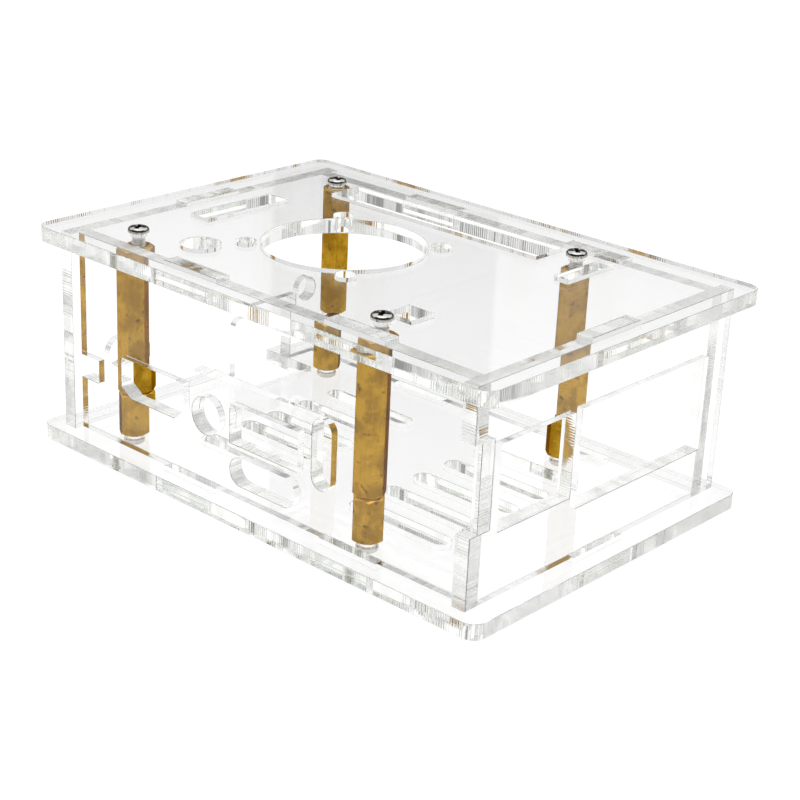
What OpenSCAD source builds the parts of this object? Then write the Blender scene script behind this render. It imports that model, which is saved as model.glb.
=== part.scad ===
// Clear laser cut case for a single board computer.
// Six sheets lock by tabs in slots and four hex columns clamp them.
// X is the long side, -Y is the side with the ports, Z is up.
// Z zero is the surface that the four lower screw heads stand on.

/* [Sheet] */
// Thickness of the clear sheet
sheet_t = 2.8; // [2.4:0.1:3]
// Corner radius of the plates
corner_r = 2.5; // [1.5:0.5:5]
// Plate edge to the outer face of each wall
margin = 4.1; // [3.9:0.1:6]
// Width of each tab
tab_w = 12.6; // [9:0.1:13]
// Middle of the left tabs from the left columns
tab_left = 21; // [19:0.5:23]
// Middle of the right tabs from the right columns
tab_right = 0.6; // [-2:0.1:2]
// Side walls run past the front and back walls by this much
side_run = 1.7; // [1:0.1:2.5]

/* [Board] */
// Spacing of the board holes along X
hole_dx = 58; // [56:0.5:66]
// Spacing of the board holes along Y
hole_dy = 49; // [48:0.5:56]
// Room from the left columns to the left wall
room_left = 8.1; // [7:0.1:12]
// Room from the right columns to the right wall
room_right = 24.1; // [22:0.1:30]
// Room from the columns to the front and back walls
room_side = 3.9; // [3.4:0.1:8]
// Thickness of the board that the case is made for
board_t = 1.6; // [1.2:0.1:2]

/* [Columns] */
// Height of the lower standoffs
lower_h = 8; // [7:0.5:10]
// Height of the upper standoffs
upper_h = 25; // [24:0.5:32]
// Hex size across the flats
hex_af = 5; // [4.5:0.1:5.2]
// Radius of the threaded studs and screws
stud_r = 1.25; // [1.1:0.05:1.3]
// Length of the stud on a lower standoff
stud_l = 6; // [5:0.5:7]
// Length of a top screw under its head
top_screw_l = 8; // [6:0.5:9]
// Length of a bottom screw under its head
bottom_screw_l = 6; // [5:0.5:7]
// Diameter of a screw head
head_d = 3.8; // [3.6:0.1:5]
// Height of a screw head
head_h = 1.1; // [1:0.1:1.8]

/* [Fan] */
// Diameter of the fan bore
fan_d = 29; // [26:1:30]
// Spacing of the fan screws
fan_pitch = 24; // [24:0.5:25]
// Diameter of the fan screw holes
fan_hole_d = 3.5; // [3:0.1:3.6]
// Fan middle from the left columns
fan_x = 27.3; // [26:0.1:29]
// Fan middle from the middle of the case
fan_y = -1.4; // [-2:0.1:0]

/* [Front wall] */
// Height of the tall ports
port_h = 7; // [6:0.1:8]
// Start of the stepped port from the left columns
step_x = 3; // [2:0.1:5]
// Width of the stepped port
step_w = 16.3; // [14:0.1:17]
// Middle of the round port from the left columns
round_x = 24.9; // [24:0.1:26]
// Diameter of the round port
round_d = 6.8; // [5:0.1:7]
// Start of the square port from the left columns
wide_x = 30.9; // [30:0.1:32]
// Width of the square port
wide_w = 16; // [14:0.1:17]
// Start of the slot under the board from the left columns
under_x = 31; // [30:0.1:33]
// Width of the slot under the board
under_w = 15.5; // [12:0.1:17]
// Height of the slot under the board
under_h = 5.2; // [4:0.1:5.6]
// Start of the upright slot from the left columns
upright_x = 50.1; // [49:0.1:52]
// Width of the upright slot
upright_w = 4.3; // [3:0.1:5]
// Height of the upright slot
upright_h = 12.3; // [9:0.1:16]
// Width of the notch in the left end
notch_w = 4.8; // [3:0.1:5]
// Height of the notch in the left end
notch_h = 4.2; // [3:0.1:6]
// Height of the finger in the right wall
finger_h = 15; // [10:0.5:18]

/* [Side walls] */
// Width of the single port in the right wall
single_w = 17.8; // [15:0.1:18]
// Height of the single port
single_h = 14.5; // [13:0.5:16]
// Height of the double port in the right wall
double_h = 17; // [14:0.5:18]
// Width of the rib between the ports
rib_w = 1.7; // [1:0.1:3]
// Width of the card opening in the left wall
card_w = 14.8; // [12:0.1:15]
// Diameter of the front round hole in the left wall
hole_front_d = 5.5; // [4:0.1:7]
// Diameter of the back round hole in the left wall
hole_back_d = 4.8; // [3:0.1:5]

/* [Plates] */
// Width of the pin header slot
header_w = 7.4; // [5:0.1:8]
// Length of the display ribbon slot
ribbon_l = 19.5; // [15:0.5:22]
// Width of the display ribbon slot
ribbon_w = 4.8; // [3:0.1:5]
// Length of the camera ribbon slot
camera_l = 12.6; // [8:0.1:14]
// Width of the camera ribbon slot
camera_w = 3.1; // [2:0.1:4]
// Side of the square hole
square_w = 5.2; // [3:0.1:5.4]
// Diameter of the cable hole
cable_d = 7; // [5:0.5:8]
// Length of the left vent slots
vent_left = 20.7; // [12:0.1:24]
// Length of the right vent slots
vent_right = 21.5; // [12:0.1:24]
// Width of the vent slots
vent_w = 3.5; // [2.5:0.1:4.5]
// Spacing of the vent slots
vent_pitch = 8; // [6:0.5:8]
// Number of vent slots in each column
vents = 5; // [3:1:5]

/* [Hidden] */
$fn = 48;

// Clearance round each tab
fit = 0.1;
// Clearance round a screw in a plate
screw_gap = 0.15;
// Clearance of a stud in a tapped hole
thread_gap = 0.05;
// Overshoot of each cut
e = 0.5;

// Outer size, which follows the board and the room round its columns
case_l = hole_dx + room_left + room_right + sheet_t * 2 + 2 * margin;
case_w = hole_dy + 2 * (room_side + sheet_t + margin);

// Levels
base_z = head_h;
deck_z = base_z + sheet_t;
board_z = deck_z + lower_h;
wall_h = lower_h + board_t + upper_h;
ceil_z = deck_z + wall_h;
top_z = ceil_z + sheet_t;
port_z = board_z + board_t;

// Wall planes, inner and outer faces
wx_out = case_l / 2 - margin;
wx_in = wx_out - sheet_t;
wy_out = case_w / 2 - margin;
wy_in = wy_out - sheet_t;

// Columns: X, Y, turn of the lower hex, turn of the upper hex, gap at the joint
x_l = room_left - wx_in;
x_r = wx_in - room_right;
y_f = room_side - wy_in;
y_b = wy_in - room_side;
FL = [x_l, y_f, 30, 1, 0];
FR = [x_r, y_f, 13, -1, 0];
BL = [x_l, y_b, 4, 16, board_t];
BR = [x_r, y_b, 22, 8, 0];
COLUMNS = [FL, FR, BL, BR];

// Middles of the tabs on the front and back walls
tabs_x = [x_l + tab_left, x_r + tab_right];
// Wall finger of the front panel, low and high
finger = [port_z + 2.6, port_z + 2.6 + finger_h];
// Card opening in the left wall, start and end
card = [y_b - 2.3 - card_w, y_b - 2.3];
// Depth of the tapped hole under a lower standoff
blind_l = 5;
// Dome and cross recess of a screw head
dome_r = 3.2;
cross_l = 2;
cross_w = 0.52;
cross_deep = 0.75;
// Turn of the cross in the top and bottom screws
top_turn = 30;
bottom_turn = 15;

// Rectangle from two corners
module span(x0, x1, y0, y1) {
  translate([x0, y0])
    square([x1 - x0, y1 - y0]);
}

// Rectangle with round corners about the middle
module round_rect(w, h, r) {
  square([w - 2 * r, h], center = true);
  square([w, h - 2 * r], center = true);
  for (sx = [-1, 1], sy = [-1, 1])
    translate([sx * (w / 2 - r), sy * (h / 2 - r)])
      circle(r);
}

// Slot with round ends, along the longer side
module slot(x0, x1, y0, y1) {
  r = min(x1 - x0, y1 - y0) / 2;
  span(x0 + (x1 - x0 > y1 - y0 ? r : 0), x1 - (x1 - x0 > y1 - y0 ? r : 0),
    y0 + (x1 - x0 > y1 - y0 ? 0 : r), y1 - (x1 - x0 > y1 - y0 ? 0 : r));
  translate([x0 + r, y0 + r])
    circle(r);
  translate([x1 - r, y1 - r])
    circle(r);
}

// Sheet lying flat at a level
module flat(z) {
  translate([0, 0, z])
    linear_extrude(sheet_t)
      children();
}

// Sheet drawn in X and Z with its rear face at y
module facing_y(y) {
  translate([0, y, 0])
    rotate([90, 0, 0])
      linear_extrude(sheet_t)
        children();
}

// Sheet drawn in Y and Z with its left face at x
module facing_x(x) {
  translate([x, 0, 0])
    rotate([90, 0, 90])
      linear_extrude(sheet_t)
        children();
}

// Cuts that both plates share: tab slots and screw holes
module plate_cuts() {
  for (s = [-1, 1], x = tabs_x)
    translate([x, s * (wy_in + sheet_t / 2)])
      square([tab_w + 2 * fit, sheet_t + 2 * fit], center = true);
  for (s = [-1, 1])
    translate([s * (wx_in + sheet_t / 2), 0])
      square([sheet_t + 2 * fit, tab_w + 2 * fit], center = true);
  for (c = COLUMNS)
    translate([c[0], c[1]])
      circle(stud_r + screw_gap);
}

module bottom_plate() {
  color([0.93, 0.96, 0.96, 0.5])
  flat(base_z)
  difference() {
    round_rect(case_l, case_w, corner_r);
    plate_cuts();
    // card notch, open to the left edge
    span(-case_l / 2 - e, x_l - 2, card[0] - 0.2, card[1]);
    // vent slots in two columns
    for (i = [0 : vents - 1]) {
      y = vent_pitch * (i - (vents - 1) / 2);
      slot(x_l + 9.5, x_l + 9.5 + vent_left, y - vent_w / 2, y + vent_w / 2);
      slot(x_r - 11.5, x_r - 11.5 + vent_right, y - vent_w / 2, y + vent_w / 2);
    }
  }
}

module top_plate() {
  fx = x_l + fan_x;
  color([0.93, 0.96, 0.96, 0.5])
  flat(ceil_z)
  difference() {
    round_rect(case_l, case_w, corner_r);
    plate_cuts();
    // fan bore and its four screw holes
    translate([fx, fan_y])
      circle(fan_d / 2, $fn = 96);
    for (sx = [-1, 1], sy = [-1, 1])
      translate([fx + sx * fan_pitch / 2, fan_y + sy * fan_pitch / 2])
        circle(fan_hole_d / 2);
    // cable hole
    translate([x_l + 11.5, y_f + 4.1])
      circle(cable_d / 2);
    // pin header slot
    span(x_l + 4.2, x_r - 4.4, y_b + 1.7 - header_w, y_b + 1.7);
    // display ribbon slot
    span(x_l - 3, x_l - 3 + ribbon_w, 9.5 - ribbon_l, 9.5);
    // camera ribbon slot
    span(x_r + 4.2, x_r + 4.2 + camera_w, y_b + 0.9 - camera_l, y_b + 0.9);
    // square hole
    translate([x_r + 0.9, y_f + 5.6])
      square(square_w, center = true);
  }
}

// Wall with its tabs, half long, about the middle, tabs at the listed places
module wall(half, places) {
  span(-half, half, deck_z, ceil_z);
  for (p = places)
    span(p - tab_w / 2, p + tab_w / 2, base_z, top_z);
}

module front_panel() {
  color([0.93, 0.96, 0.96, 0.5])
  facing_y(-wy_in)
  difference() {
    union() {
      wall(wx_in, tabs_x);
      // finger that shows through the end of the right wall
      span(0, wx_out, finger[0] + fit, finger[1] - fit);
    }
    // stepped port with slanted lower corners
    translate([x_l + step_x, port_z])
      polygon([[0, 1.6], [2.5, 0], [step_w - 2.3, 0], [step_w, 2],
        [step_w, port_h], [0, port_h]]);
    // round port
    translate([x_l + round_x, port_z + 2.9])
      circle(round_d / 2);
    // square port
    span(x_l + wide_x, x_l + wide_x + wide_w, port_z, port_z + port_h);
    // slot under the board
    slot(x_l + under_x, x_l + under_x + under_w, board_z - 0.4 - under_h, board_z - 0.4);
    // upright slot
    slot(x_l + upright_x, x_l + upright_x + upright_w, board_z + 0.2,
      board_z + 0.2 + upright_h);
    // notch in the left end
    span(-wx_in - e, -wx_in + notch_w, port_z + 0.2, port_z + 0.2 + notch_h);
  }
}

module back_panel() {
  color([0.93, 0.96, 0.96, 0.5])
  facing_y(wy_out)
    wall(wx_in, tabs_x);
}

module left_panel() {
  color([0.93, 0.96, 0.96, 0.5])
  facing_x(-wx_out)
  difference() {
    wall(wy_out + side_run, [0]);
    // card opening, open below, with one round corner
    difference() {
      span(card[0], card[1], deck_z - e, board_z + 3.4);
      translate([card[0], board_z + 1.9])
        difference() {
          square(1.5);
          translate([1.5, 0])
            circle(1.5);
        }
    }
    // two round holes
    translate([y_f + 3.9, board_z + 4.1])
      circle(hole_front_d / 2);
    translate([y_b + 0.7, board_z + 3.8])
      circle(hole_back_d / 2);
  }
}

module right_panel() {
  color([0.93, 0.96, 0.96, 0.5])
  facing_x(wx_in)
  difference() {
    wall(wy_out + side_run, [0]);
    // open end for the finger of the front panel
    span(-wy_out - side_run - e, -wy_in + fit, finger[0], finger[1]);
    // single port
    span(y_f - 2, y_f - 2 + single_w, board_z + 3.2, board_z + 3.2 + single_h);
    // double port
    span(y_f - 2 + single_w + rib_w, y_b + 2.8, board_z + 0.9, board_z + 0.9 + double_h);
  }
}

// Hex bar with chamfered ends
module hex_bar(h, turn) {
  r = hex_af / 2;
  rim = r / cos(30) + 0.1;
  drop = (rim - r + 0.05) * tan(30);
  intersection() {
    rotate(turn)
      cylinder(r = r / cos(30), h = h, $fn = 6);
    rotate_extrude()
      polygon([[0, 0], [r - 0.05, 0], [rim, drop], [rim, h - drop],
        [r - 0.05, h], [0, h]]);
  }
}

// Lower standoff: tapped below, stud above
module standoff_lower(c) {
  color([0.78, 0.62, 0.3])
  translate([c[0], c[1], deck_z]) {
    difference() {
      hex_bar(lower_h, c[2]);
      translate([0, 0, -e])
        cylinder(r = stud_r + thread_gap, h = blind_l + e);
    }
    translate([0, 0, lower_h - e])
      cylinder(r = stud_r, h = stud_l + e);
  }
}

// Upper standoff: tapped right through
module standoff_upper(c) {
  color([0.78, 0.62, 0.3])
  translate([c[0], c[1], board_z + c[4]])
  difference() {
    hex_bar(upper_h, c[3]);
    translate([0, 0, -e])
      cylinder(r = stud_r + thread_gap, h = upper_h + 2 * e);
  }
}

// Low pan head screw with a cross recess, head up, seat at z zero
module pan_screw(l, turn) {
  difference() {
    union() {
      rotate_extrude()
        intersection() {
          translate([0, head_h - dome_r])
            circle(dome_r, $fn = 192);
          square([head_d / 2, head_h]);
        }
      translate([0, 0, -l])
        cylinder(r = stud_r, h = l + 0.2);
    }
    rotate(turn)
      for (a = [0, 90])
        rotate(a)
          translate([-cross_l / 2, -cross_w / 2, head_h - cross_deep])
            cube([cross_l, cross_w, 2]);
    translate([0, 0, head_h - cross_deep - 0.1])
      cylinder(r1 = 0.2, r2 = 0.62, h = cross_deep + 0.15);
  }
}

module top_screws() {
  color("silver")
  for (c = COLUMNS)
    translate([c[0], c[1], top_z])
      pan_screw(top_screw_l, top_turn + 2 * c[3]);
}

module bottom_screws() {
  color("silver")
  for (c = COLUMNS)
    translate([c[0], c[1], base_z])
      rotate([180, 0, 0])
        pan_screw(bottom_screw_l, bottom_turn + 2 * c[2]);
}

bottom_plate();
top_plate();
front_panel();
back_panel();
left_panel();
right_panel();
standoff_lower(FL);  // standoff_lower_front_left
standoff_lower(FR);  // standoff_lower_front_right
standoff_lower(BL);  // standoff_lower_back_left
standoff_lower(BR);  // standoff_lower_back_right
standoff_upper(FL);  // standoff_upper_front_left
standoff_upper(FR);  // standoff_upper_front_right
standoff_upper(BL);  // standoff_upper_back_left
standoff_upper(BR);  // standoff_upper_back_right
top_screws();
bottom_screws();
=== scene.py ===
import math
import bpy
import numpy as np
from mathutils import Matrix, Vector
from mathutils.geometry import tessellate_polygon


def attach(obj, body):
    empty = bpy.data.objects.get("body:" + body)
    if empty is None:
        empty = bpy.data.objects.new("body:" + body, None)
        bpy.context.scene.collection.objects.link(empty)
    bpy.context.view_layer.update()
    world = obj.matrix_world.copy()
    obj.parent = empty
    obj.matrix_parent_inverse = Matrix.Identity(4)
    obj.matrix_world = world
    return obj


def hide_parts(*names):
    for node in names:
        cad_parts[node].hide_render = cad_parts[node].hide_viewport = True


# Clear laser cut case: sheets, brass columns and screws, dressed over the CAD nodes.
# All sizes in the dictionaries are millimetres, in the part's own frame.
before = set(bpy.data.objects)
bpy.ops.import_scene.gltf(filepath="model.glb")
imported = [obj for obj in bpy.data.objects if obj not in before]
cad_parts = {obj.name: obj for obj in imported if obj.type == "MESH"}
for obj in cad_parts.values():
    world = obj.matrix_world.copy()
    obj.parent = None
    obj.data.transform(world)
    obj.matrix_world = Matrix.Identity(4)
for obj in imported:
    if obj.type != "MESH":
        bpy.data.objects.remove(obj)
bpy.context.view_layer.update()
mm = 0.001

levels = dict(base=1.1, deck=3.9, board=11.9, port=13.5, ceiling=38.5, top=41.3)
sheet = dict(thick=2.8, chamfer=0.07, arcStep=0.35, air=0.015)
walls = dict(xIn=45.1, xOut=47.9, yIn=28.4, yOut=31.2, run=1.7,
             tab=12.6, tabsX=(-16, 21.6), fit=0.1, screwHole=1.4)
columnPlaces = dict(front_left=(-37, -24.5), front_right=(21, -24.5),
                    back_left=(-37, 24.5), back_right=(21, 24.5))


# shader sockets

class Wire:
    # one shader socket; an expression on it adds the Math nodes that work it out
    def __init__(self, net, socket):
        self.net, self.socket = net, socket

    def math(self, operation, *values, clamp=False):
        return self.net.add("ShaderNodeMath", dict(operation=operation, use_clamp=clamp),
                            dict(enumerate(values)))

    def __add__(self, other):
        return self.math("ADD", self, other)

    def __sub__(self, other):
        return self.math("SUBTRACT", self, other)

    def __rsub__(self, other):
        return self.math("SUBTRACT", other, self)

    def __mul__(self, other):
        return self.math("MULTIPLY", self, other)

    def __truediv__(self, other):
        return self.math("DIVIDE", self, other)

    __radd__ = __add__
    __rmul__ = __mul__

    def clamped(self):
        return self.math("ADD", self, 0.0, clamp=True)

    def stepped(self, low, high):
        # a smooth step from 0 at low to 1 at high; it falls where low is the greater
        return self.net.add("ShaderNodeMapRange", dict(interpolation_type="SMOOTHSTEP"),
                            {"Value": self, "From Min": low, "From Max": high})


class Net:
    # the node tree of one material or world
    def __init__(self, owner):
        owner.use_nodes = True
        self.tree = owner.node_tree
        self.tree.nodes.clear()

    def add(self, kind, settings=None, values=None, out=0):
        # a node of any kind: its settings come first, then its sockets are linked or set
        node = self.tree.nodes.new(kind)
        for name, value in (settings or {}).items():
            setattr(node, name, value)
        for name, value in (values or {}).items():
            target = node.inputs[name]
            if isinstance(value, Wire):
                self.tree.links.new(value.socket, target)
            elif target.type == "RGBA":
                target.default_value = (*value, 1.0)
            else:
                target.default_value = value
        return Wire(self, node.outputs[out]) if len(node.outputs) else None

    def blend(self, mask, low, high):
        # the colour low where the mask is 0 and high where it is 1
        return self.add("ShaderNodeMix", dict(data_type="RGBA"), {0: mask, 6: low, 7: high}, out=2)

    def objectPlace(self, scale=(1, 1, 1)):
        place = self.add("ShaderNodeTexCoord", out="Object")
        return self.add("ShaderNodeMapping", None, {"Vector": place, "Scale": scale})

    def uvPlace(self, scale=(1, 1, 1)):
        place = self.add("ShaderNodeUVMap", dict(uv_map="cut"))
        return self.add("ShaderNodeMapping", None, {"Vector": place, "Scale": scale})

    def noise(self, place, scale, detail, rough):
        return self.add("ShaderNodeTexNoise", None, {
            "Vector": place, "Scale": scale, "Detail": detail, "Roughness": rough})

    def bump(self, height, strength, distance):
        return self.add("ShaderNodeBump", None, {
            "Height": height, "Strength": strength, "Distance": distance})


def newMaterial(name):
    material = bpy.data.materials.new(name)
    return material, Net(material)


# clear sheet: polished faces and laser cut edges

sheetLook = dict(face=(0.997, 0.999, 0.997), smeared=(0.988, 0.992, 0.989), glint=(0.35, 0.35, 0.35),
                 edge=(0.975, 0.98, 0.965), burnt=(0.93, 0.94, 0.915), line=(0.58, 0.60, 0.56),
                 rim=(0.60, 0.62, 0.59), rimFrom=0.15, rimTo=0.09, index=1.49)


def polishedSheet():
    # very clear, with faint wipe marks and a few specks of dust
    material, net = newMaterial("polished acrylic")
    place = net.objectPlace()
    smear = net.noise(place, 45.0, 3.0, 0.55).stepped(0.5, 0.8)
    fleck = net.noise(place, 1300.0, 2.0, 0.5).stepped(0.7, 0.76)
    rough = smear * 0.006 + fleck * 0.08
    wave = net.noise(place, 24.0, 1.0, 0.4)
    colour = net.blend(smear, sheetLook["face"], sheetLook["smeared"])
    shader = net.add("ShaderNodeBsdfPrincipled", None, {
        "Base Color": colour, "Roughness": rough, "IOR": sheetLook["index"],
        "Specular Tint": sheetLook["glint"], "Transmission Weight": 1.0,
        "Normal": net.bump(wave, 0.04, 0.0002)})
    net.add("ShaderNodeOutputMaterial", None, {"Surface": shader})
    return material


def cutEdge():
    # clear stretches, and stretches of fine even lines across the thickness that the laser left;
    # the rim along each face is dull
    material, net = newMaterial("laser cut acrylic edge")
    along = net.uvPlace((1, 0, 1))
    lines = net.add("ShaderNodeTexWave",
                    dict(wave_type="BANDS", bands_direction="X", wave_profile="SIN"),
                    {"Vector": along, "Scale": 0.66, "Distortion": 2.2, "Detail": 2.0, "Detail Scale": 1.3},
                    out="Fac")
    patch = net.noise(along, 0.19, 2.0, 0.6).stepped(0.5, 0.6)
    slow = net.noise(along, 0.6, 1.0, 0.5)
    fine = net.noise(along, 3.6, 2.0, 0.7)
    depth = net.noise(net.uvPlace((0.9, 0.8, 1)), 1.0, 3.0, 0.6)
    across = net.add("ShaderNodeSeparateXYZ", None, {"Vector": net.uvPlace()}, out="Y")
    start, end, t = sheetLook["rimFrom"], sheetLook["rimTo"], sheet["thick"]
    rim = across.stepped(start, end) + across.stepped(t - start, t - end)
    burn = (patch * 0.5 + depth.stepped(0.45, 0.7) * 0.4).clamped()
    colour = net.blend(burn, sheetLook["edge"], sheetLook["burnt"])
    colour = net.blend(patch * lines.stepped(0.6, 0.9) * 0.6, colour, sheetLook["line"])
    colour = net.blend(rim * 0.8, colour, sheetLook["rim"])
    grain = net.noise(net.uvPlace((5.0, 3.5, 1)), 1.0, 2.0, 0.6).stepped(0.5, 0.66)
    rough = 0.01 + grain * (0.05 + patch * 0.2) + rim * 0.1
    height = lines * (0.2 + patch * 0.8) + fine * 0.15 + slow * 0.15
    shader = net.add("ShaderNodeBsdfPrincipled", None, {
        "Base Color": colour, "Roughness": rough, "IOR": sheetLook["index"],
        "Transmission Weight": 1.0, "Normal": net.bump(height, 1.0, 0.000022)})
    net.add("ShaderNodeOutputMaterial", None, {"Surface": shader})
    return material


# brass columns and nickel screws

# the fourth colour is the brown of the spots and also of the painted shade towards the bar's outline
brassLook = dict(fresh=(0.57, 0.32, 0.024), worn=(0.39, 0.205, 0.012), bright=(0.80, 0.50, 0.07),
                 darkBrown=(0.09, 0.045, 0.012), rim=(0.35, 0.24, 0.1))
# the last colour is the dark of the painted shade in the recess
nickelLook = dict(bright=(0.74, 0.725, 0.70), hazed=(0.58, 0.56, 0.52), recessShade=(0.035, 0.03, 0.026))


def tarnishedBrass():
    # drawn bar: streaks along its length, cloudy tarnish and small brown spots; faces turned away from the
    # camera get painted shade in the same brown
    material, net = newMaterial("tarnished brass")
    place = net.objectPlace()
    drawn = net.noise(net.objectPlace((1, 1, 0.03)), 2400.0, 2.0, 0.6)
    streak = net.noise(net.objectPlace((1, 1, 0.05)), 520.0, 2.0, 0.6)
    cloud = net.noise(place, 250.0, 4.0, 0.66)
    darkBrown = net.noise(place, 620.0, 3.0, 0.6).stepped(0.63, 0.71)
    speck = net.noise(place, 2000.0, 2.0, 0.6).stepped(0.64, 0.72)
    bare = net.add("ShaderNodeAttribute", dict(attribute_name="mark"), out="Fac")
    tone = (streak * 0.35 + cloud * 1.2 - 0.28).stepped(0.36, 0.62)
    colour = net.blend(tone, brassLook["fresh"], brassLook["worn"])
    grain = net.noise(place, 2600.0, 2.0, 0.7).stepped(0.55, 0.75)
    rubbed = (drawn.stepped(0.5, 0.8) * 0.12 + grain * 0.45).clamped()
    colour = net.blend(rubbed, colour, brassLook["bright"])
    colour = net.blend((darkBrown * 0.6 + speck * 0.55).clamped(), colour, brassLook["darkBrown"])
    # painted shade: the faces that turn away from the camera are darkened towards the brown of the spots
    aside = net.add("ShaderNodeLayerWeight", None, {"Blend": 0.5}, out="Facing").stepped(0.55, 0.95)
    colour = net.blend(aside * 0.7, colour, brassLook["darkBrown"])
    colour = net.blend(bare * 0.8, colour, brassLook["bright"])
    rough = 0.27 + cloud.stepped(0.3, 0.75) * 0.14 + darkBrown * 0.2 - bare * 0.1
    shader = net.add("ShaderNodeBsdfPrincipled", None, {
        "Base Color": colour, "Roughness": rough, "Metallic": 1.0, "Specular Tint": brassLook["rim"],
        "Normal": net.bump(drawn + cloud * 0.5, 0.3, 0.00003)})
    net.add("ShaderNodeOutputMaterial", None, {"Surface": shader})
    return material


def nickelPlate():
    # bright plate with a light haze, and painted shade that darkens the cross recess
    material, net = newMaterial("nickel plate")
    place = net.objectPlace()
    haze = net.noise(place, 900.0, 3.0, 0.6)
    fleck = net.noise(place, 4200.0, 2.0, 0.6).stepped(0.66, 0.78)
    recessShade = net.add("ShaderNodeAttribute", dict(attribute_name="mark"), out="Fac")
    colour = net.blend(haze.stepped(0.35, 0.75), nickelLook["bright"], nickelLook["hazed"])
    # painted shade: the recess darkens by its marks; a few specks take the same dark
    colour = net.blend((fleck * 0.4 + recessShade * 0.95).clamped(), colour, nickelLook["recessShade"])
    rough = 0.07 + haze.stepped(0.3, 0.8) * 0.08 + recessShade * 0.25
    shader = net.add("ShaderNodeBsdfPrincipled", None, {
        "Base Color": colour, "Roughness": rough, "Metallic": 1.0,
        "Normal": net.bump(haze, 0.12, 0.00003)})
    net.add("ShaderNodeOutputMaterial", None, {"Surface": shader})
    return material


# outlines of the sheets, as rows of (u, v) points in millimetres

def circleLoop(x, y, r, points=0):
    # a circle: centre plus radius times cosine and sine
    count = points or max(24, int(2 * math.pi * r / sheet["arcStep"]))
    a = np.linspace(0, 2 * np.pi, count, endpoint=False)
    return np.c_[x + r * np.cos(a), y + r * np.sin(a)]


def roundedLoop(corners):
    # straight sides joined by arcs: each corner is (x, y, radius), an arc tangent to both sides
    rows = []
    count = len(corners)
    for i in range(count):
        x, y, r = corners[i]
        here = np.array([x, y], float)
        before = np.array(corners[i - 1][:2], float) - here
        after = np.array(corners[(i + 1) % count][:2], float) - here
        if r <= 0:
            rows.append(here[None])
            continue
        before /= np.linalg.norm(before)
        after /= np.linalg.norm(after)
        half = math.acos(float(np.clip(before @ after, -1, 1))) / 2
        middle = here + (before + after) / np.linalg.norm(before + after) * r / math.sin(half)
        start = here + before * r / math.tan(half) - middle
        end = here + after * r / math.tan(half) - middle
        a0, a1 = math.atan2(start[1], start[0]), math.atan2(end[1], end[0])
        turn = (a1 - a0 + math.pi) % (2 * math.pi) - math.pi
        steps = max(4, int(abs(turn) * r / sheet["arcStep"]) + 2)
        a = a0 + turn * np.linspace(0, 1, steps)
        rows.append(middle + r * np.c_[np.cos(a), np.sin(a)])
    return np.vstack(rows)


def boxLoop(x0, x1, y0, y1, r=0.15):
    # a box whose corners are arcs of radius r
    return roundedLoop([(x0, y0, r), (x1, y0, r), (x1, y1, r), (x0, y1, r)])


def slotLoop(x0, x1, y0, y1):
    # a box whose ends are half circles, but for a hair that keeps its sides apart
    return boxLoop(x0, x1, y0, y1, min(x1 - x0, y1 - y0) / 2 - 0.001)


def oriented(loop, outer):
    # the outline runs anticlockwise and each opening clockwise, by the sign of twice the area
    x, y = loop[:, 0], loop[:, 1]
    area = float(np.sum(x * np.roll(y, -1) - np.roll(x, -1) * y))
    return loop if (area > 0) == outer else loop[::-1]


def divided(loop, longest=3.0):
    # long straight sides get points every few millimetres: each side's start plus equal shares of its run
    run = np.roll(loop, -1, axis=0) - loop
    counts = np.maximum(1, (np.linalg.norm(run, axis=1) / longest).astype(int))
    side = np.repeat(np.arange(len(loop)), counts)
    share = (np.arange(len(side)) - (np.cumsum(counts) - counts)[side]) / counts[side]
    return loop[side] + run[side] * share[:, None]


def insetLoop(loop, by, leanest=0.35):
    # every point moves along the bisector of its two side normals, into the sheet; leanest holds
    # the move at sharp corners
    before = loop - np.roll(loop, 1, axis=0)
    after = np.roll(loop, -1, axis=0) - loop
    before /= np.linalg.norm(before, axis=1)[:, None]
    after /= np.linalg.norm(after, axis=1)[:, None]
    n0 = np.c_[-before[:, 1], before[:, 0]]
    n1 = np.c_[-after[:, 1], after[:, 0]]
    bisector = n0 + n1
    bisector /= np.maximum(np.sum(bisector * n0, axis=1), leanest)[:, None]
    return loop + bisector * by


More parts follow.
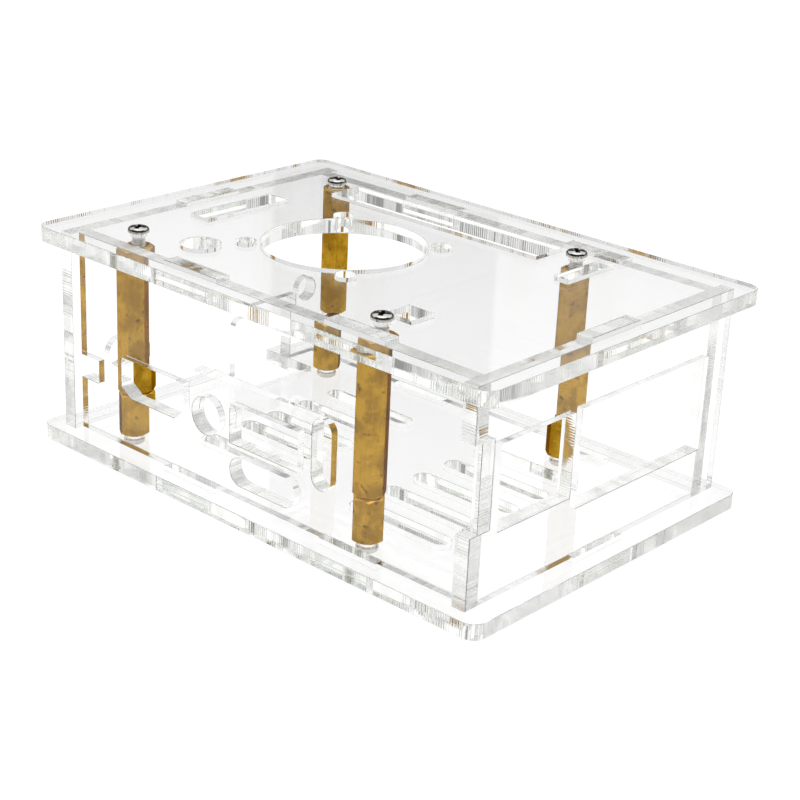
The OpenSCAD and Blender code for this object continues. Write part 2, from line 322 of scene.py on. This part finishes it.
def sheetPiece(name, nodes, loops, place):
    # a flat sheet: two faces filled between the loops and a wall round each loop,
    # with a small chamfer where the wall meets a face; place turns (u, v, w) into x, y, z.
    # every surface lies a hair inside the sheet, so that clear sheets which touch keep air between them
    t, c, air = sheet["thick"], sheet["chamfer"], sheet["air"]
    loops = [insetLoop(divided(oriented(loop, i == 0)), air) for i, loop in enumerate(loops)]
    level = [air, air + c, t - air - c, t - air]
    points, sides, uvs, inners, starts = [], [], [], [], []
    start = 0
    for loop in loops:
        n = len(loop)
        inner = insetLoop(loop, c)
        points += [np.c_[row, np.full(n, w)] for row, w in zip((inner, loop, loop, inner), level)]
        run = np.r_[0, np.cumsum(np.linalg.norm(np.roll(loop, -1, axis=0) - loop, axis=1))]
        sides.append(gridFaces(len(level), n, False) + start)
        for lo, hi in zip(level, level[1:]):
            corners = [(run[:-1], lo), (run[1:], lo), (run[1:], hi), (run[:-1], hi)]
            uvs.append(np.stack([np.c_[u, np.full(n, v)] for u, v in corners], 1).reshape(-1, 2))
        inners.append(inner)
        starts.append(start)
        start += 4 * n
    # the faces' triangles, turned so that the upper face looks up and the lower one down
    points, sides = np.vstack(points), np.vstack(sides)
    lower = np.concatenate([s + np.arange(len(inner)) for s, inner in zip(starts, inners)])
    upper = np.concatenate([s + 3 * len(inner) + np.arange(len(inner)) for s, inner in zip(starts, inners)])
    tris = np.array(tessellate_polygon([[Vector((u, v, 0)) for u, v in inner] for inner in inners]))
    p = points[lower[tris]]
    up = np.cross(p[:, 1] - p[:, 0], p[:, 2] - p[:, 0])[:, 2] > 0
    tris = np.where(up[:, None], tris, tris[:, ::-1])
    caps = np.stack([upper[tris], lower[tris[:, ::-1]]], 1).reshape(-1, 3)
    uvs.append(points[lower[np.stack([tris, tris[:, ::-1]], 1).ravel()], :2])
    mesh = bpy.data.meshes.new(name)
    mesh.from_pydata((place(points) * mm).tolist(), [], sides.tolist() + caps.tolist())
    mesh.materials.append(materials["face"])
    mesh.materials.append(materials["edge"])
    mesh.polygons.foreach_set("material_index", [1] * len(sides) + [0] * len(caps))
    mesh.polygons.foreach_set("use_smooth", [True] * len(mesh.polygons))
    mesh.uv_layers.new(name="cut").data.foreach_set("uv", np.vstack(uvs).ravel())
    mesh.validate()
    mesh.set_sharp_from_angle(angle=math.radians(28))
    mesh.update()
    piece = bpy.data.objects.new(name, mesh)
    bpy.context.scene.collection.objects.link(piece)
    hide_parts(*nodes)
    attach(piece, "root")


def lyingAt(z):
    # drawn in x and y, its lower face at z
    return lambda p: np.c_[p[:, 0], p[:, 1], p[:, 2] + z]


def facingFront(y):
    # drawn in x and z, its rear face at y, thickness towards the front
    return lambda p: np.c_[p[:, 0], y - p[:, 2], p[:, 1]]


def facingSide(x):
    # drawn in y and z, its left face at x
    return lambda p: np.c_[p[:, 2] + x, p[:, 0], p[:, 1]]


def wallOutline(half, tabs, extra=()):
    # a wall between the plates with a tab up and down at each place, and an optional finger at its right end
    h, lo, hi = walls["tab"] / 2, levels["deck"], levels["ceiling"]
    corners = [(-half, lo)]
    for x in sorted(tabs):
        corners += [(x - h, lo), (x - h, levels["base"]), (x + h, levels["base"]), (x + h, lo)]
    corners.append((half, lo))
    corners += extra
    corners.append((half, hi))
    for x in sorted(tabs, reverse=True):
        corners += [(x + h, hi), (x + h, levels["top"]), (x - h, levels["top"]), (x - h, hi)]
    corners.append((-half, hi))
    return [(x, y, 0) for x, y in corners]


def plateSlots():
    # the slots for the walls' tabs and the holes for the screws, the same in both plates
    fit, h, t = walls["fit"], walls["tab"] / 2, sheet["thick"]
    rows = []
    for side in (-1, 1):
        for x in walls["tabsX"]:
            y = side * (walls["yIn"] + t / 2)
            rows.append(boxLoop(x - h - fit, x + h + fit, y - t / 2 - fit, y + t / 2 + fit, 0))
        x = side * (walls["xIn"] + t / 2)
        rows.append(boxLoop(x - t / 2 - fit, x + t / 2 + fit, -h - fit, h + fit, 0))
    for x, y in columnPlaces.values():
        rows.append(circleLoop(x, y, walls["screwHole"]))
    return rows


plate = dict(halfLength=52, halfWidth=35.3, corner=2.5)
fan = dict(x=-9.7, y=-1.4, radius=14.5, pitch=24, hole=1.75, points=200)
# openings as x, x, y, y; the cable hole as x, y, radius
topOpenings = dict(header=(-32.8, 16.6, 18.8, 26.2), ribbon=(-40, -35.2, -10, 9.5),
                   small=(25.2, 28.3, 12.8, 25.4), square=(19.3, 24.5, -21.5, -16.3))
cableHole = (-25.5, -20.4, 3.5)
cardNotch = dict(depth=-39, low=7.2, high=22.2, corner=0.2)
vents = dict(count=5, pitch=8, half=1.75, columns=((-27.5, -6.8), (9.5, 31)))


def buildPlates():
    x, y, r = plate["halfLength"], plate["halfWidth"], plate["corner"]
    top = [roundedLoop([(-x, -y, r), (x, -y, r), (x, y, r), (-x, y, r)])] + plateSlots()
    top.append(circleLoop(fan["x"], fan["y"], fan["radius"], fan["points"]))
    h = fan["pitch"] / 2
    top += [circleLoop(fan["x"] + u, fan["y"] + v, fan["hole"]) for u in (-h, h) for v in (-h, h)]
    top.append(circleLoop(*cableHole))
    top += [boxLoop(*topOpenings[name]) for name in ("header", "ribbon", "small", "square")]
    sheetPiece("topPlate", ["top_plate"], top, lyingAt(levels["ceiling"]))
    # the card notch opens the left edge of the lower plate
    depth, low, high, q = (cardNotch[k] for k in ("depth", "low", "high", "corner"))
    outline = [(-x, -y, r), (x, -y, r), (x, y, r), (-x, y, r)]
    outline += [(-x, high, q), (depth, high, q), (depth, low, q), (-x, low, q)]
    bottom = [roundedLoop(outline)] + plateSlots()
    for i in range(vents["count"]):
        v = vents["pitch"] * (i - vents["count"] // 2)
        bottom += [slotLoop(x0, x1, v - vents["half"], v + vents["half"]) for x0, x1 in vents["columns"]]
    sheetPiece("bottomPlate", ["bottom_plate"], bottom, lyingAt(levels["base"]))


# openings of the walls; heights count from the port level, or from the board's underside
# if the name says board; tight is the radius of their sharp corners
tight = 0.1
finger = dict(low=2.7, high=17.5)
frontNotch = dict(depth=4.8, low=0.2, high=4.4, corner=0.15)
steppedPort = ((0, 1.6), (2.5, 0), (14, 0), (16.3, 2), (16.3, 7), (0, 7))
frontOpenings = dict(stepX=-34, roundPort=(-12.1, 2.9, 3.4), squarePort=(-6.1, 9.9, 0, 7),
                     boardSlot=(-6, 9.5, -5.6, -0.4), boardUpright=(13.1, 17.4, 0.2, 12.5))
leftOpenings = dict(cardLow=7.4, cardHigh=22.2, cardTop=3.4, corner=1.5,
                    boardHoles=((-20.6, 4.1, 2.75), (25.2, 3.8, 2.4)))
rightOpenings = dict(boardSingle=(-26.5, -8.7, 3.2, 17.7), boardDouble=(-7, 27.3, 0.9, 17.9))


def above(level, x0, x1, low, high):
    # an opening whose low and high sides count from a level
    return x0, x1, level + low, level + high


def buildWalls():
    port, board, deck = levels["port"], levels["board"], levels["deck"]
    half, out, side = walls["xIn"], walls["xOut"], walls["yOut"] + walls["run"]
    low, high = port + finger["low"], port + finger["high"]
    outline = wallOutline(half, walls["tabsX"], [(half, low), (out, low), (out, high), (half, high)])
    # the notch in the left end is part of the outline
    inner, low, high = frontNotch["depth"] - half, port + frontNotch["low"], port + frontNotch["high"]
    q = frontNotch["corner"]
    outline += [(-half, high, 0), (inner, high, q), (inner, low, q), (-half, low, 0)]
    x, y, r = frontOpenings["roundPort"]
    front = [roundedLoop(outline),
             roundedLoop([(frontOpenings["stepX"] + u, port + v, tight) for u, v in steppedPort]),
             circleLoop(x, port + y, r),
             boxLoop(*above(port, *frontOpenings["squarePort"])),
             slotLoop(*above(board, *frontOpenings["boardSlot"])),
             slotLoop(*above(board, *frontOpenings["boardUpright"]))]
    sheetPiece("frontPanel", ["front_panel"], front, facingFront(-walls["yIn"]))
    back = [roundedLoop(wallOutline(half, walls["tabsX"]))]
    sheetPiece("backPanel", ["back_panel"], back, facingFront(walls["yOut"]))
    # the card opening stands on the deck, and the right wall is open where the front panel's finger lies
    outline = wallOutline(side, [0])
    at = outline.index((side, deck, 0))
    low, high, top = leftOpenings["cardLow"], leftOpenings["cardHigh"], board + leftOpenings["cardTop"]
    outline[at:at] = [(low, deck, 0), (low, top, leftOpenings["corner"]), (high, top, tight), (high, deck, 0)]
    left = [roundedLoop(outline)] + [circleLoop(y, board + z, r) for y, z, r in leftOpenings["boardHoles"]]
    sheetPiece("leftPanel", ["left_panel"], left, facingSide(-out))
    fit = walls["fit"]
    inner, low, high = fit - walls["yIn"], port + finger["low"] - fit, port + finger["high"] + fit
    outline = wallOutline(side, [0]) + [(-side, high, 0), (inner, high, 0), (inner, low, 0), (-side, low, 0)]
    right = [roundedLoop(outline)]
    right += [boxLoop(*above(board, *rightOpenings[name])) for name in ("boardSingle", "boardDouble")]
    sheetPiece("rightPanel", ["right_panel"], right, facingSide(walls["xIn"]))


# columns and screws: surfaces of two parameters on a grid

hexBar = dict(flats=5.0, fillet=0.16, soft=18, sides=144, lower=8.0, upper=25.0, bore=1.3, mouth=1.55,
              blunt=1.8, sink=0.28, stud=6.0, neck=(1.32, 1.05), blind=5.0, rings=(0.15, 0.3, 0.5, 0.7, 0.85))
# how far each end's rim lies inside the flats, and the slope behind it
rims = dict(joint=(0.3, 38), end=(0.2, 34))
thread = dict(outer=1.25, depth=0.25, pitch=0.45, step=0.075, flank=1.25, crest=0.1, fade=0.5,
              sunk=0.3, least=0.6)
turns = dict(front_left=(30, 1), front_right=(13, -1), back_left=(4, 16), back_right=(22, 8))
jointGap = dict(front_left=0, front_right=0, back_left=1.6, back_right=0)


def gridFaces(rows, cols, loop):
    # quads of a grid that closes on itself along its columns, and along its rows too if it is a loop
    i, j = np.meshgrid(np.arange(rows if loop else rows - 1), np.arange(cols), indexing="ij")
    k, m = (j + 1) % cols, (i + 1) % rows
    return np.stack([i * cols + j, i * cols + k, m * cols + k, m * cols + j], -1).reshape(-1, 4)


def hexRadius(a, turn, r):
    # distance to a hexagon's side at angle a; a soft minimum of the flats and a circle rounds its corners
    b = (a - math.radians(turn)) % (np.pi / 3) - np.pi / 6
    tip = r / math.cos(math.pi / 6)
    corner = tip - hexBar["fillet"] * (tip / r - 1) * hexBar["blunt"]
    k = hexBar["soft"]
    return -np.log(np.exp(-r / np.cos(b) * k) + np.exp(-corner * k)) / k


def hexAngles(turn):
    # even angles round the bar, from the turn of its flats
    return math.radians(turn) + np.linspace(0, 2 * np.pi, hexBar["sides"], endpoint=False)


def threadRadius(a, z):
    # a helix: the radius follows a rounded triangle wave of height less angle
    phase = (z / thread["pitch"] - a / (2 * np.pi)) % 1.0
    wave = np.abs(phase * 2 - 1)
    return thread["outer"] - thread["depth"] * np.clip(wave * thread["flank"] - thread["crest"], 0, 1)


def skin(a, rows, first=None, last=None):
    # rings (radius, height, mark) over the angles a, joined in turn; the ends meet in centre points at the
    # heights first and last, or else the last ring joins the first
    n = len(a)
    flat = [np.c_[r * np.cos(a), r * np.sin(a), np.broadcast_to(z, n)] for r, z, mark in rows]
    marks = [np.broadcast_to(mark, n) for r, z, mark in rows]
    faces = [gridFaces(len(rows), n, first is None)]
    if first is not None:
        flat.append([[0, 0, first], [0, 0, last]])
        marks.append([0.0, np.max(rows[-1][2])])
        j = np.arange(n)
        k, end, centre = (j + 1) % n, (len(rows) - 1) * n, len(rows) * n
        faces += [np.c_[np.full(n, centre), k, j], np.c_[end + j, end + k, np.full(n, centre + 1)]]
    return np.vstack(flat), faces, np.concatenate(marks)


def addPiece(name, nodes, points, faces, marks, material, smooth=35):
    # a mesh of points in millimetres and blocks of faces, which replaces its CAD nodes
    mesh = bpy.data.meshes.new(name)
    mesh.from_pydata((points * mm).tolist(), [], [face for block in faces for face in block.tolist()])
    mesh.materials.append(materials[material])
    mesh.polygons.foreach_set("use_smooth", [True] * len(mesh.polygons))
    mesh.set_sharp_from_angle(angle=math.radians(smooth))
    mesh.attributes.new("mark", "FLOAT", "POINT").data.foreach_set("value", marks)
    mesh.update()
    piece = bpy.data.objects.new(name, mesh)
    bpy.context.scene.collection.objects.link(piece)
    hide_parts(*nodes)
    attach(piece, "root")


def threadRings(a, low, high, start, end):
    # rings up a thread from low to high, whose crests sink away towards start and end
    for z in np.arange(low, high, thread["step"]):
        fade = np.clip(min(z - start, end - z) / thread["fade"], 0, 1)
        yield np.maximum(threadRadius(a, z) - (1 - fade) * thread["sunk"], thread["least"]), z, 0


def standoff(x, y, z, height, turn, stud, blind):
    # one closed skin: outside up, then over the stud, or down the bore again; marks are the bare rims
    a = hexAngles(turn)
    n = len(a)
    r = hexBar["flats"] / 2
    body = hexRadius(a, turn, r)
    bore, mouth = np.full(n, hexBar["bore"]), np.full(n, hexBar["mouth"])
    lowRim, lowSlope = rims["end"] if stud else rims["joint"]
    highRim, highSlope = rims["joint"] if stud else rims["end"]
    lowEdge = (body - r + lowRim) * math.tan(math.radians(lowSlope))
    highEdge = height - (body - r + highRim) * math.tan(math.radians(highSlope))
    rows = [(bore, hexBar["sink"], 0), (mouth, 0.0, 0.5), (np.full(n, r - lowRim), 0.0, 1)]
    rows += [(body, lowEdge, 1), (body, lowEdge + 0.1, 0)]
    rows += [(body, height * share, 0) for share in hexBar["rings"]]
    rows += [(body, highEdge - 0.1, 0), (body, highEdge, 1), (np.full(n, r - highRim), height, 1)]
    if stud:
        wide, narrow = hexBar["neck"]
        rows += [(np.full(n, wide), height, 0.5), (np.full(n, narrow), height + 0.05, 0)]
        rows += threadRings(a, height + 0.1, height + stud - 0.04, height - 1, height + stud)
        points, faces, marks = skin(a, [(bore, blind, 0)] + rows, blind, height + stud)
    else:
        rows += [(mouth, height, 0.5), (bore, height - hexBar["sink"], 0)]
        points, faces, marks = skin(a, rows)
    return points + np.array([x, y, z]), faces, marks


def buildColumns():
    for corner, (x, y) in columnPlaces.items():
        low, high = turns[corner]
        z = levels["board"] + jointGap[corner]
        lower = standoff(x, y, levels["deck"], hexBar["lower"], low, hexBar["stud"], hexBar["blind"])
        upper = standoff(x, y, z, hexBar["upper"], high, 0, 0)
        addPiece("lowerColumn." + corner, ["standoff_lower_" + corner], *lower, "brass")
        addPiece("upperColumn." + corner, ["standoff_upper_" + corner], *upper, "brass")


screw = dict(radius=1.9, height=1.095, dome=6.7, shoulder=0.6, ease=0.05, tip=0.85, neck=(1.2, -0.15),
             arm=1.25, width=0.36, deep=0.72, slope=0.12, lip=0.15, cone=0.85, coneRadius=0.8, sides=96,
             recessShade=5, shoulderRings=7, domeRings=42, topLength=8, bottomLength=6, topTurn=30,
             bottomTurn=15)


def recess(u, v):
    # how deep the cross lies: four arms whose walls slope inwards, and a cone at their middle
    au, av = np.abs(u), np.abs(v)
    arm = np.maximum(np.minimum(au, av) - screw["width"], np.maximum(au, av) - screw["arm"])
    cross = np.clip(screw["lip"] - arm / screw["slope"], 0, 1) * screw["deep"]
    return np.maximum(cross, np.clip(1 - np.hypot(u, v) / screw["coneRadius"], 0, 1) * screw["cone"])


def screwSkin(length, turn):
    # tip, thread, underside, side, round shoulder and dome less the recess, as one closed skin
    n, top, big = screw["sides"], screw["height"], screw["dome"]
    a = np.linspace(0, 2 * np.pi, n, endpoint=False)
    side, q, ease = screw["radius"], screw["shoulder"], screw["ease"]
    rows = [(np.full(n, screw["tip"]), -length, 0)]
    rows += threadRings(a, -length + 0.08, -0.2, -length, 1)
    # the shoulder's circle touches the side and the dome
    across, up = side - q, top - big + math.sqrt((big - q) ** 2 - (side - q) ** 2)
    under = (screw["neck"], (thread["outer"], 0.0), (side - ease, 0.0), (side, ease))
    rows += [(np.full(n, r), z, 0) for r, z in under]
    lean = math.asin(across / (big - q))
    for b in np.linspace(0, math.pi / 2 - lean, screw["shoulderRings"]):
        rows.append((np.full(n, across + q * math.cos(b)), up + q * math.sin(b), 0))
    for r in np.linspace(across + q * math.sin(lean), 0, screw["domeRings"])[1:-1]:
        # painted shade: the marks grow with the depth of the recess, and darken the nickel there
        deep = recess(r * np.cos(a), r * np.sin(a))
        recessShaded = np.clip(deep * screw["recessShade"], 0, 1)
        rows.append((np.full(n, r), top - big + math.sqrt(big ** 2 - r ** 2) - deep, recessShaded))
    points, faces, marks = skin(a, rows, -length, top - screw["cone"])
    c, s = math.cos(math.radians(turn)), math.sin(math.radians(turn))
    points = np.c_[points[:, 0] * c - points[:, 1] * s, points[:, 0] * s + points[:, 1] * c, points[:, 2]]
    return points, faces, marks


def buildScrews():
    for name, node, length, up in (("topScrews", "top_screws", screw["topLength"], True),
                                   ("bottomScrews", "bottom_screws", screw["bottomLength"], False)):
        allPoints, allFaces, allMarks, start = [], [], [], 0
        for corner, (x, y) in columnPlaces.items():
            low, high = turns[corner]
            turn = screw["topTurn"] + 2 * high if up else screw["bottomTurn"] + 2 * low
            points, faces, marks = screwSkin(length, turn)
            turned = points if up else points * np.array([1, -1, -1])
            allPoints.append(turned + np.array([x, y, levels["top" if up else "base"]]))
            allFaces += [block + start for block in faces]
            allMarks.append(marks)
            start += len(points)
        addPiece(name, [node], np.vstack(allPoints), allFaces, np.concatenate(allMarks), "nickel", 40)


# studio

studio = dict(lens=83.35, sensor=36, shift=(-0.00906, -0.00165), azimuth=41.491, elevation=22.281,
              roll=2.728, offset=(-4.5675, 12.6378, 330.671), lift=1.1, bounces=48)


def placeCamera():
    # the camera turns to its azimuth and elevation, then rolls; offset is the frame's origin in its view
    a, e, w = (math.radians(studio[k]) for k in ("azimuth", "elevation", "roll"))
    back = Vector((math.sin(a) * math.cos(e), -math.cos(a) * math.cos(e), math.sin(e)))
    right = (-back).cross(Vector((0, 0, 1))).normalized()
    down = (-back).cross(right)
    c, s = math.cos(w), math.sin(w)
    right, down = right * c - down * s, right * s + down * c
    x, y, z = studio["offset"]
    place = -(right * x + down * y - back * z)
    place.z += studio["lift"]
    data = bpy.data.cameras.new("camera")
    data.lens, data.sensor_width = studio["lens"], studio["sensor"]
    data.shift_x, data.shift_y = studio["shift"]
    data.clip_start, data.clip_end = 0.01, 50
    camera = bpy.data.objects.new("camera", data)
    turn = Matrix((right, -down, back)).transposed().to_4x4()
    camera.matrix_world = Matrix.Translation(place * mm) @ turn
    bpy.context.scene.collection.objects.link(camera)
    bpy.context.scene.camera = camera


def seenBy(net):
    # 1 on the camera's rays, on mirrored rays and on rays through glass, one at a time
    camera, mirrored, through = (net.add("ShaderNodeLightPath", out=name) for name in
                                 ("Is Camera Ray", "Is Glossy Ray", "Is Transmission Ray"))
    return camera, mirrored * (1.0 - through), through


floorLook = dict(half=6.0, paper=0.16, seen=0.95, mirrored=0.9, through=1.0,
                 nearX=0.06, nearY=0.04, fade=0.05, nearMirrored=0.25, nearThrough=0.2)


def buildFloor():
    # white paper whose glow differs by ray; it is dimmer on the camera's side of the case
    h = floorLook["half"]
    mesh = bpy.data.meshes.new("floor")
    mesh.from_pydata([(-h, -h, 0), (h, -h, 0), (h, h, 0), (-h, h, 0)], [], [(0, 1, 2, 3)])
    floor = bpy.data.objects.new("floor", mesh)
    bpy.context.scene.collection.objects.link(floor)
    material, net = newMaterial("white table")
    paper = net.add("ShaderNodeBsdfDiffuse", None, {"Color": (floorLook["paper"],) * 3})
    place = net.add("ShaderNodeTexCoord", out="Object")
    x, y = (net.add("ShaderNodeSeparateXYZ", None, {"Vector": place}, out=axis) for axis in "XY")
    near = x.math("MAXIMUM", x - floorLook["nearX"], -floorLook["nearY"] - y).stepped(0.0, floorLook["fade"])
    camera, mirrored, through = seenBy(net)
    level = camera * floorLook["seen"] + mirrored * (floorLook["mirrored"] - near * floorLook["nearMirrored"])
    level = level + through * (floorLook["through"] - near * floorLook["nearThrough"])
    glow = net.add("ShaderNodeEmission", None, {"Color": (1, 1, 1), "Strength": level})
    both = net.add("ShaderNodeAddShader", None, {0: paper, 1: glow})
    net.add("ShaderNodeOutputMaterial", None, {"Surface": both})
    material.cycles.emission_sampling = "NONE"
    mesh.materials.append(material)


# how bright the walls and the extra of the ceiling are, and how much of that each dark thing takes away
room = dict(walls=0.92, ceiling=0.6, panel=0.7, bars=0.6, near=0.3, nearMirrored=0.65, shade=0.8)
# where each thing begins and where it is whole: the panel by how far a ray leans aside and how fast it
# rises, the uprights by their noise, by how far aside they stand and by height, and the rest by height
ramps = dict(ahead=(0.0, 0.01), panelLeft=(-0.082, -0.078), panelRight=(0.049, 0.045),
             panelLow=(0.16, 0.17), panelHigh=(0.62, 0.6), nearSide=(0.0, -0.1), nearHigh=(0.88, 0.8),
             barEdge=(0.53, 0.54), barsAside=(0.3, 0.34), barsLow=(0.04, 0.05), barsHigh=(0.62, 0.6),
             shadeHigh=(0.5, 0.42), ceilingLow=(0.85, 0.92))


def buildWorld():
    # a white room with a brighter ceiling, a grey panel, dark uprights and a dark side behind the camera
    world = bpy.data.worlds.new("room")
    bpy.context.scene.world = world
    net = Net(world)
    way = net.add("ShaderNodeTexCoord", out="Generated")
    x, y, z = (net.add("ShaderNodeSeparateXYZ", None, {"Vector": way}, out=axis) for axis in "XYZ")
    # away from the camera and to its right, and how far a ray leans aside and rises on its way ahead
    azimuth = math.radians(studio["azimuth"])
    c, s = math.cos(azimuth), math.sin(azimuth)
    away, right = y * c - x * s, x * c + y * s
    side, rise = right / away, z / away
    panel = away.stepped(*ramps["ahead"]) * side.stepped(*ramps["panelLeft"])
    panel = panel * side.stepped(*ramps["panelRight"])
    panel = panel * rise.stepped(*ramps["panelLow"]) * rise.stepped(*ramps["panelHigh"])
    near = away.stepped(*ramps["nearSide"]) * z.stepped(*ramps["nearHigh"])
    # the uprights stand round the sides, where only the cut edges and the metal pick them up
    turn = right.math("ARCTAN2", right, away)
    bars = net.noise(net.add("ShaderNodeCombineXYZ", None, {"X": turn}), 9.0, 1.0, 0.5)
    bars = bars.stepped(*ramps["barEdge"]) * turn.math("ABSOLUTE", turn).stepped(*ramps["barsAside"])
    bars = bars * z.stepped(*ramps["barsLow"]) * z.stepped(*ramps["barsHigh"])
    camera, mirrored, through = seenBy(net)
    dark = panel * room["panel"] + bars * room["bars"]
    dark = dark.math("MAXIMUM", dark, near * (room["near"] + mirrored * room["nearMirrored"]))
    # what mirrors the room by itself sees its walls in shade, below the bright ceiling
    shade = mirrored * z.stepped(*ramps["shadeHigh"]) * room["shade"]
    level = (room["walls"] - shade) * (1.0 - dark) + z.stepped(*ramps["ceilingLow"]) * room["ceiling"]
    strength = camera + (1.0 - camera) * level
    shader = net.add("ShaderNodeBackground", None, {"Color": (1, 1, 1), "Strength": strength})
    net.add("ShaderNodeOutputWorld", None, {"Surface": shader})


materials = dict(face=polishedSheet(), edge=cutEdge(), brass=tarnishedBrass(), nickel=nickelPlate())
print("materials made")
buildPlates()
buildWalls()
print("sheets made")
buildColumns()
buildScrews()
print("columns and screws made")
buildFloor()
buildWorld()
placeCamera()
bpy.context.scene.view_settings.view_transform = "Standard"
# light runs along inside the sheets, so its paths are long
cycles = bpy.context.scene.cycles
cycles.max_bounces = cycles.transmission_bounces = cycles.glossy_bounces = studio["bounces"]
print("scene ready")
